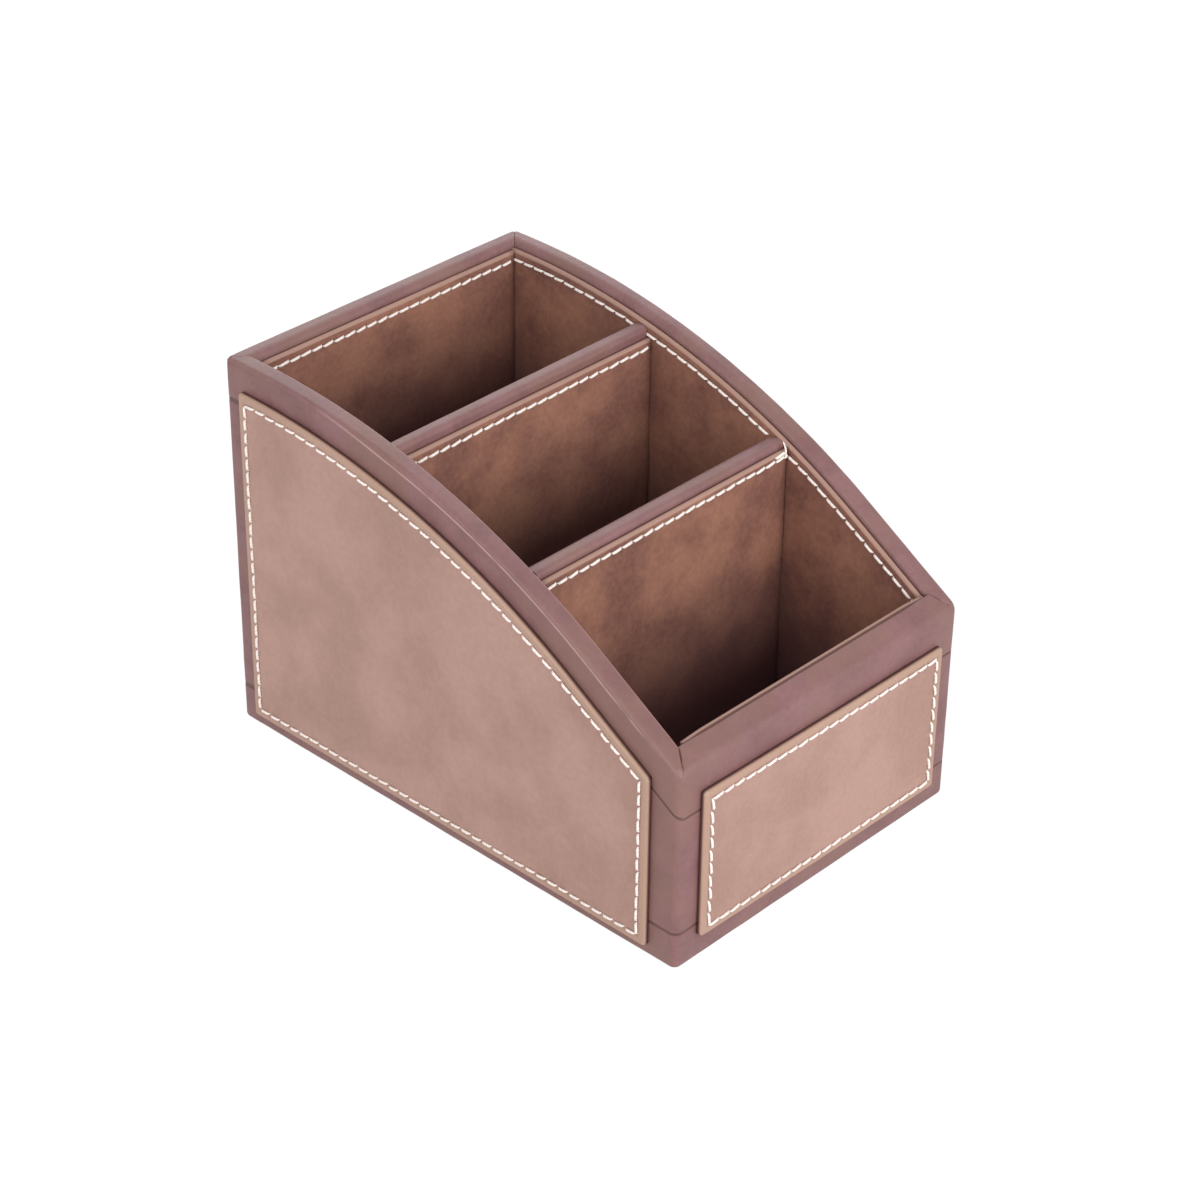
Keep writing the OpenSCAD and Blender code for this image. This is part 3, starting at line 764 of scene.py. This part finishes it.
# Distances from the seam of the rows of verts beside it
seam_rows = [offset * mm for offset in (-1.1, -0.7, -0.4, -0.15, 0.15, 0.4, 0.7, 1.1)]
panel_wave = 0.12 * mm
panel_ripple = (24 * mm, 7 * mm, 0.35, 0.7)
seed_scale = 7
stitch_pitch = 4.2 * mm
# (length, slant) of the stitches on the outer sides, on the inner sides and on the other sheets
side_stitch = (3.7 * mm, math.radians(2))
inner_stitch = (3.95 * mm, math.radians(2))
front_stitch = (3.95 * mm, math.radians(7))
panel_thread = 0.42 * mm

# The tan, (colour, spread), and the painted shade in the crevice below the edge go by the inset in
# millimetres, which is negative below the edge.
# The linings' leather, painted paler with the sheen that its face shows
sheened_panel_shades = ((0.326, 0.181, 0.141, 1), (0.436, 0.257, 0.210, 1))
panel_clouds = (30 * mm, 3, 0.35, 0.65)
panel_grain = (0.5 * mm, 0.02 * mm)
panel_shine = (0.5, 0.6)
panel_tan = ((0.44, 0.28, 0.20, 1), (1.4, 2.7, 0.7, 0))
panel_crevice_shade = (-1.3, -0.4, 1, 0)
# Colour of the painted shade in the crevice below a turned or cut edge, and in the linings' corners
crevice_shade = (0.11, 0.050, 0.042, 1)


def sheet_finish(name, shades, clouds, shine, tan, edge, deep=None, corner_shade=None):
    """A sewn sheet: more tan at its edge, and painted shade in the crevice below its turned or cut edge.

    With deep, (colour, slope, spread), it takes that colour far down in the box as painted shade,
    and painted shade darkens it where two sheets meet in a corner."""
    material, tree, shader, colour = leather(name, shades, clouds, panel_grain, shine)
    inset = add(tree, "Attribute", attribute_name="inset").outputs["Fac"]
    tan_colour, spread = tan
    colour = blend(tree, spread_over(tree, inset, *spread), colour, tan_colour)
    painted_shade_share = spread_over(tree, inset, *edge)
    if deep:
        deep_colour, slope, spread = deep
        place = add(tree, "SeparateXYZ", {0: add(tree, "TexCoord").outputs["Object"]})
        above = add(tree, "Math", {0: place.outputs["Y"], 1: -slope, 2: place.outputs["Z"]},
                    operation="MULTIPLY_ADD").outputs[0]
        colour = blend(tree, spread_over(tree, above, *spread), colour, deep_colour)
        side = add(tree, "Attribute", attribute_name="side").outputs["Fac"]
        side = spread_over(tree, side, *corner_shade)
        painted_shade_share = add(tree, "Math", {0: painted_shade_share, 1: side}, operation="MAXIMUM").outputs[0]
    tree.links.new(blend(tree, painted_shade_share, colour, crevice_shade), shader.inputs["Base Color"])
    return material


def face_frame(middle, across):
    """Frame of a sheet: across it as seen from its face, up it, and out of its face."""
    across = Vector(across)
    turned = Matrix((across, up, across.cross(up))).transposed().to_4x4()
    turned.translation = middle
    return turned


def seam_marks(path):
    """(place, direction) of each stitch along a path of places on a sheet, evenly spaced."""
    lengths = [(b - a).length for a, b in zip(path, path[1:])]
    total = sum(lengths)
    count = max(1, round(total / stitch_pitch))
    marks = []
    for index in range(count):
        left = total * (index + 0.5) / count
        step = 0
        while left > lengths[step] and step < len(lengths) - 1:
            left -= lengths[step]
            step += 1
        along = (path[step + 1] - path[step]).normalized()
        marks.append((path[step] + along * left, along))
    return marks


def slanted(along, amount):
    """The direction of a stitch on a seam that runs along a direction."""
    return Matrix.Rotation(amount, 2) @ along


def turned_edge(thick, radius, tuck):
    """(inset, rise) stations of an edge: out from the wall to its widest place, then to the face."""
    tucked = [(tuck * across, (thick - radius) * along) for along, across in quarter(1, tuck_steps)[:-1]]
    return tucked + [(along, thick - across) for along, across in quarter(radius, turn_steps)]


def ticks(a, b, pitch):
    """Even steps between a and b, both left out."""
    steps = max(1, math.ceil(abs(b - a) / pitch))
    return [a + (b - a) * i / steps for i in range(1, steps)]


def path_steps(side):
    """Places across a sheet, from -side to side, where the path of a seam is worked out."""
    return [-side] + ticks(-side, side, path_pitch) + [side]


def lifted(spot, half_wide, foot, top, lifts):
    """A place on a panel that was glued on a little out of true: each corner has its own lift."""
    right = min(1, max(0, 0.5 + spot.x / (2 * half_wide)))
    upper = min(1, max(0, (spot.y - foot) / (top(spot.x, 0) - foot)))
    low = lifts[0] * (1 - right) ** 2 + lifts[1] * right ** 2
    high = lifts[2] * (1 - right) ** 2 + lifts[3] * right ** 2
    return Vector((spot.x, spot.y + (low + (high - low) * upper) * mm))


def seam_at(across, half_wide, insets):
    """The inset of a seam at a place across a sheet, from its insets at the left and right ends."""
    return insets[0] + (insets[1] - insets[0]) * (0.5 + across / (2 * half_wide))


def needle_holes(marks, stitch):
    """The two ends of each stitch of a seam, as a tree to look up the nearest one."""
    length, slant = stitch
    holes = kdtree.KDTree(2 * len(marks))
    for index, (place, along) in enumerate(marks):
        half = slanted(along, slant) * length / 2
        holes.insert((*(place - half), 0), 2 * index)
        holes.insert((*(place + half), 0), 2 * index + 1)
    holes.balance()
    return holes


def sunk(away, reach, depth):
    """How deep a round hollow is at a distance from its middle."""
    return depth * (0.5 + 0.5 * math.cos(math.pi * away / reach)) if away < reach else 0


def sheet_lines(half_wide, foot, top, thick, edge, sewn_round):
    """The (across, rise) columns of a sheet, and its (kind, value, rise) rows.

    A row is an inset from the foot or from the top, or a share of what lies between these."""
    top_edge = edge + [(panel_seam + offset, thick) for offset in seam_rows]
    side_edge = top_edge if sewn_round else [(0, 0), (0, thick - end_bevel), (end_bevel, thick)]
    reach = side_edge[-1][0] - half_wide
    columns = [(inset - half_wide, rise) for inset, rise in side_edge]
    columns += [(across, thick) for across in ticks(reach, -reach, fine_pitch)]
    columns += [(half_wide - inset, rise) for inset, rise in side_edge[::-1]]
    inner = max(top(across, top_edge[-1][0]) for across, _ in columns) - foot - side_edge[-1][0]
    pitch = fine_pitch if sewn_round else plain_pitch
    rows = [("foot", inset, rise) for inset, rise in side_edge]
    rows += [("share", share, thick) for share in ticks(0, 1, pitch / inner)]
    rows += [("top", inset, rise) for inset, rise in top_edge[::-1]]
    return columns, rows


def sheet(matrix, half_wide, foot, top, thick, marks, sewn_round, wave, edge, stitch,
          lifts=(0, 0, 0, 0), insets=(panel_seam, panel_seam)):
    """A sheet on a wall, from foot up to top(across, drop), with grooves and needle holes.

    Sewn round, all its edges are turned and its corners rounded. Otherwise only the top is."""
    edge_radius = edge[0]
    columns, rows = sheet_lines(half_wide, foot, top, thick, turned_edge(thick, *edge), sewn_round)
    foot_inset = max(value for kind, value, _ in rows if kind == "foot")
    top_inset = max(value for kind, value, _ in rows if kind == "top")
    holes = needle_holes(marks, stitch)
    bm, spots = bent_grid(len(columns), len(rows), "inset", "side")
    inset_layer, side_layer = bm.verts.layers.float["inset"], bm.verts.layers.float["side"]
    seed = matrix.translation * seed_scale
    for vert, row, column in spots:
        across, rise_across = columns[column]
        kind, value, rise_up = rows[row]
        if kind == "share":
            low = foot + foot_inset
            z = low + (top(across, top_inset) - low) * value
            end_inset = min(z - foot, top(across, 0) - z)
        else:
            z = foot + value if kind == "foot" else top(across, value)
            end_inset = value
        side_inset = half_wide - abs(across)
        if not sewn_round:
            side_inset = half_wide
            end_inset = value if kind == "top" else 2 * top_inset
        inset = min(side_inset, end_inset)
        out = min(rise_across, rise_up)
        below = thick - out
        gap_a, gap_b = panel_corner - side_inset, panel_corner - end_inset
        if sewn_round and kind != "share" and gap_a > 0 and gap_b > 0:
            pull = 1 - max(gap_a, gap_b) / math.hypot(gap_a, gap_b)
            across -= math.copysign(gap_a * pull, across)
            z += (gap_b if kind == "foot" else -gap_b) * pull
        spot = Vector((across, z, 0))
        if out >= thick:
            ring = abs(inset - seam_at(across, half_wide, insets))
            out += wave * rippled(spot, panel_ripple, seed) - sunk(ring, groove_reach, groove_depth)
            if ring < hole_search:
                out -= sunk(holes.find(spot)[2], hole_reach, hole_depth)
        vert[inset_layer] = ((inset if below <= edge_radius else -inset) - below) / mm
        vert[side_layer] = (half_wide - abs(across)) / mm
        vert.co = matrix @ Vector((*lifted(Vector((across, z)), half_wide, foot, top, lifts), out))
    back = bmesh.ops.edgeloop_fill(bm, edges=[e for e in bm.edges if e.is_boundary])["faces"]
    bmesh.ops.recalc_face_normals(bm, faces=bm.faces)
    sharpen(bm, fold_angle)
    for face in back:
        for e in face.edges:
            e.smooth = False
    return bm


def panel_seams(half_wide, foot, top):
    """The four sides of a panel's seam, as paths."""
    side = half_wide - panel_seam
    low = foot + panel_seam
    upper = [Vector((a, top(a, panel_seam))) for a in path_steps(side)]
    corners = [Vector((-side, low)), Vector((side, low))]
    return [corners, [corners[1], upper[-1]], upper[::-1], [upper[0], corners[0]]]


panel_leather = sheet_finish("panel_leather", sheened_panel_shades, panel_clouds, panel_shine, panel_tan,
                             panel_crevice_shade)
seams = {}
# Lift in mm of the low left, low right, high left and high right corner of a panel
panel_lifts = {"left": (0, -0.9, 1.2, 0), "front": (0.8, 0, 0.8, 0)}
panel_walls = {
    "left": (Vector((-half_w, 0, 0)), (0, -1, 0)),
    "right": (Vector((half_w, 0, 0)), (0, 1, 0)),
    "front": (Vector((0, -half_d, 0)), (1, 0, 0)),
    "back": (Vector((0, half_d, 0)), (-1, 0, 0)),
}
for name, (middle, across) in panel_walls.items():
    low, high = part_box(name + "_panel_cover")
    size = high - low
    if name in ("left", "right"):
        middle.y = (low.y + high.y) / 2
        half_wide, thick, stitch = size.y / 2, size.x, side_stitch
        top = lambda a, drop, y=middle.y, way=across[1]: rim_height(y + way * a, panel_top_gap + drop)
    else:
        half_wide, thick, stitch = size.x / 2, size.y, front_stitch
        top = lambda a, drop, high=high.z: high - drop
    matrix = face_frame(middle, across)
    marks = [mark for path in panel_seams(half_wide, low.z, top) for mark in seam_marks(path)]
    lifts = panel_lifts.get(name, (0, 0, 0, 0))
    bm = sheet(matrix, half_wide, low.z, top, thick, marks, True, panel_wave, panel_turn, stitch, lifts)
    finish_mesh(bm, name + "_panel_leather", "panel", panel_leather, name + "_panel_cover")
    marks = [(lifted(place, half_wide, low.z, top, lifts), along) for place, along in marks]
    seams[name + "_panel_stitching"] = (matrix, thick, marks, stitch, panel_thread)

# Linings
# A thicker sheet of the panels' leather on each inner face, glued to the wall or the divider, its
# colour painted darker with the shade inside the box. Its upper edge is cut, shows tan and is sewn.
# The floors of the three rooms are lined too.

# (radius, tuck) of the cut edge
lining_turn = (1.2 * mm, 0.8 * mm)
front_lining_turn = (0.5 * mm, 0.3 * mm)
lining_wave = 0.22 * mm
lining_thread = 0.45 * mm
floor_wave = 0.25 * mm
floor_wave_size = 14 * mm
floor_steps = (26, 24)
front_sag = 0.4 * mm
front_sag_reach = 9 * mm

# The panels' leather, painted darker with the shade inside the box
shaded_lining_shades = ((0.170, 0.074, 0.060, 1), (0.350, 0.168, 0.112, 1))
lining_clouds = (22 * mm, 3, 0.32, 0.68)
lining_shine = (0.6, 0.25)
lining_tan = ((0.42, 0.26, 0.21, 1), (0.3, 1.3, 0.8, 0))
# Painted shade in the crevice below the lining's cut edge
lining_crevice_shade = (-1.5, -0.9, 1, 0)
# Painted shade: darker and more purple far down in the box, and darker where two sheets meet in a corner
lining_deep_shade = ((0.135, 0.066, 0.078, 1), 0.35, (12 * mm, 80 * mm, 1, 0))
lining_corner_shade = (0.2, 3, 0.45, 0)

lining_leather = sheet_finish("lining_leather", shaded_lining_shades, lining_clouds, lining_shine, lining_tan,
                              lining_crevice_shade, lining_deep_shade, lining_corner_shade)


def lining(name, stitching, middle, across, drop_to_top, skip=(), insets=(panel_seam, panel_seam),
           stitch=front_stitch, edge=lining_turn):
    """A lining with its seam; skip gives the (middle, reach) along it where there is no seam."""
    low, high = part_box(name)
    size = high - low
    matrix = face_frame(middle, Vector(across).normalized())
    lengthwise = abs(across[1]) > abs(across[0])
    half_wide, thick = (size.y / 2, size.x) if lengthwise else (size.x / 2, size.y)
    if drop_to_top is None:
        top = lambda a, drop: high.z - drop
    elif lengthwise:
        top = lambda a, drop: rim_height(across[1] * a, drop_to_top + drop)
    else:
        sag = lambda a: front_sag * (1 - ease(half_wide - abs(a), 0, front_sag_reach))
        top = lambda a, drop: rim_height(-half_d + wall_t + thick, drop_to_top + drop) - sag(a)
    side = half_wide - panel_corner
    path = [Vector((a, top(a, seam_at(a, half_wide, insets)))) for a in path_steps(side)]
    marks = [mark for mark in seam_marks(path)
             if all(abs(across[1] * mark[0].x - at) > reach for at, reach in skip)]
    bm = sheet(matrix, half_wide, low.z, top, thick, marks, False, lining_wave, edge, stitch,
               insets=insets)
    finish_mesh(bm, name + "_leather", "lining", lining_leather, name)
    seams[stitching] = (matrix, thick, marks, stitch, lining_thread)


dividers = {name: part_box(name + "_divider_cap") for name in ("front", "rear")}
middles = [(low.y + high.y) / 2 for low, high in dividers.values()]
# How far back a cap stands at the left and the right wall, and how far round its middle it
# hides their seams
covered_shifts = (0.4 * mm, 0.9 * mm)
covered_reach = 3.3 * mm
left_covered, right_covered = ([(middle + shift, covered_reach) for middle in middles]
                               for shift in covered_shifts)
side_drop = 2.1 * mm
front_drop = 0.75 * mm
lining("left_lining", "left_lining_stitching", Vector((-inner_w, 0, 0)), (0, 1, 0), side_drop,
       left_covered, stitch=inner_stitch)
lining("right_lining", "right_lining_stitching", Vector((inner_w, 0, 0)), (0, -1, 0), side_drop,
       right_covered, stitch=inner_stitch)
lining("back_lining", "back_lining_stitching", Vector((0, inner_d, 0)), (1, 0, 0), None)
lining("front_lining", "front_lining_stitching", Vector((0, -inner_d, 0)), (-1, 0, 0), front_drop,
       edge=front_lining_turn)
# Inset of the seam at the left and the right end of each divider's front lining
front_seams = {"front": (2.6 * mm, 2.0 * mm), "rear": (2.8 * mm, 2.6 * mm)}
for name, (low, high) in dividers.items():
    body = name + "_divider_"
    front, rear = ((sum(ends) / 2, (ends[1] - ends[0]) / (2 * inner_w)) for ends in divider_shifts[name])
    lining(body + "front_lining", body + "front_stitching", Vector((0, low.y + front[0], 0)),
           (1, front[1], 0), None, insets=front_seams[name])
    lining(body + "rear_lining", body + "rear_stitching", Vector((0, high.y + rear[0], 0)),
           (-1, -rear[1], 0), None)

for name in ("front_floor_lining", "middle_floor_lining", "rear_floor_lining"):
    low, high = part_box(name)
    half = (high - low) / 2
    bm, spots = bent_grid(*(steps + 1 for steps in floor_steps))
    for vert, row, column in spots:
        across, along = (2 * place / steps - 1 for place, steps in zip((column, row), floor_steps))
        vert.co = (low + high) / 2 + Vector((across, along, 1)) * half
        vert.co.z -= floor_wave * (0.5 + noise.noise(vert.co / floor_wave_size))
    thicken(bm, 0)
    finish_mesh(bm, name + "_leather", "lining", lining_leather, name)

# Stitching
# White waxed thread in long slanting stitches. Each sinks into its needle holes at both
# ends and stands up in the middle, and the two plies of the thread twist round it.

thread_pale = (0.95, 0.88, 0.84, 1)
# Colour of the painted shade in the grooves between the plies
thread_groove_shade = (0.85, 0.76, 0.70, 1)
thread_shine = (0.75, 0.3)
thread_relief = 0.03 * mm
ply_line = (-1, 0.2)
thread_sides = 6
thread_rings = 7
thread_seed = 11
# Height of a stitch, the share of it inside the sheet, its thinness at the ends, and the powers
# that crowd its rings there and make it sink late
thread_sink = 0.45 * mm
sunk_share = 0.75
end_thin = 0.5
ring_power = 0.7
sink_power = 8
# Radians of the ply's wave for each millimetre along the thread, and across it
ply_twist = 5.2
ply_wrap = 1.6
# Largest slant in degrees, stretch as a share, and shift in millimetres of a stitch
slant_scatter = 3
stretch_scatter = 0.06
shift_scatter = 0.12
# The last stitch of one seam is doubled, with a knot and a loose tail. Their courses are
# (across, up, out, radius) in millimetres, from that stitch's middle on the face of the sheet.
loose_seam = "front_divider_front_stitching"
doubled_shift = Vector((0, 1.4)) * mm
doubled_slant = 0.05
loose_courses = [
    [(1.6, -0.2, 0, 0.25), (1.9, 0, 0.3, 0.45), (2.2, 0.2, 0.3, 0.5), (2.5, 0.6, 0.2, 0.4),
     (2.6, 0.9, -0.1, 0.2)],
    [(1.9, 0.6, 0, 0.2), (2.0, 1.3, 0.4, 0.3), (2.0, 2.2, 0.4, 0.3), (2.0, 3.2, 0.1, 0.28),
     (1.9, 4.2, -0.3, 0.26), (1.8, 4.9, -0.6, 0.14)],
]


def thread_finish():
    """Two-ply thread: the twist shows as slanting lines of painted shade between the plies, and as a
    relief.
    """
    material, tree, shader = new_finish("thread", thread_shine)
    ply = add(tree, "Attribute", attribute_name="ply").outputs["Fac"]
    wave = add(tree, "Math", {0: ply}, operation="SINE").outputs[0]
    twist = spread_over(tree, wave, *ply_line)
    tree.links.new(blend(tree, twist, thread_groove_shade, thread_pale), shader.inputs["Base Color"])
    raise_relief(tree, shader, [(twist, thread_relief)])
    return material


def stitch_rings(length, thread_radius):
    """(place along, height, radius) of the rings of one stitch."""
    rings = []
    for index in range(thread_rings):
        share = 2 * index / (thread_rings - 1) - 1
        share = math.copysign(abs(share) ** ring_power, share)
        swell = 1 - share ** sink_power
        rings.append((share * length / 2, thread_sink * (swell - sunk_share),
                      thread_radius * (end_thin + (1 - end_thin) * swell)))
    return rings


thread = thread_finish()
randomness = random.Random(thread_seed)


def strand(bm, matrix, course, aside):
    """One closed tube of thread through (across, up, out, radius) places on a sheet."""
    rings = grow_rings(bm, thread_sides, len(course))
    ply = bm.verts.layers.float["ply"]
    reach = 0
    for step, ((across, height, out, radius), ring) in enumerate(zip(course, rings)):
        if step:
            reach += (Vector(course[step][:3]) - Vector(course[step - 1][:3])).length
        for index, vert in enumerate(ring):
            angle = 2 * math.pi * index / thread_sides
            spot = Vector((across, height)) + aside * radius * math.cos(angle)
            vert.co = matrix @ Vector((spot.x, spot.y, out + radius * math.sin(angle)))
            vert[ply] = ply_twist * reach / mm + ply_wrap * math.cos(angle)
    for ring in (rings[0], rings[-1]):
        bmesh.ops.contextual_create(bm, geom=ring)


def thread_piece(matrix, thick, marks, stitch, thread_radius, loose):
    """All the stitches of one seam, and the loose lengths of thread at its end if it has any."""
    bm = bmesh.new()
    bm.verts.layers.int.new("index")
    bm.verts.layers.float.new("ply")
    shape = stitch_rings(stitch[0], thread_radius)
    for place, along in marks:
        slant = stitch[1] + math.radians(randomness.uniform(-slant_scatter, slant_scatter))
        ahead = slanted(along, slant)
        aside = Vector((-ahead.y, ahead.x))
        stretch = 1 + randomness.uniform(-stretch_scatter, stretch_scatter)
        centre = place + aside * randomness.uniform(-shift_scatter, shift_scatter) * mm
        course = [(*(centre + ahead * reach * stretch), thick + height, radius)
                  for reach, height, radius in shape]
        strand(bm, matrix, course, aside)
    for course in loose:
        strand(bm, matrix, course, Vector((1, 0)))
    bmesh.ops.recalc_face_normals(bm, faces=bm.faces)
    return bm


for name, (matrix, thick, marks, stitch, radius) in seams.items():
    loose = ()
    if name == loose_seam:
        end, along = marks[-1]
        marks.append((end + doubled_shift, slanted(along, doubled_slant)))
        loose = [[(end.x + across * mm, end.y + up_by * mm, thick + out * mm, wide * mm)
                  for across, up_by, out, wide in course] for course in loose_courses]
    bm = thread_piece(matrix, thick, marks, stitch, radius, loose)
    finish_mesh(bm, name.replace("stitching", "thread"), "thread", thread, name)
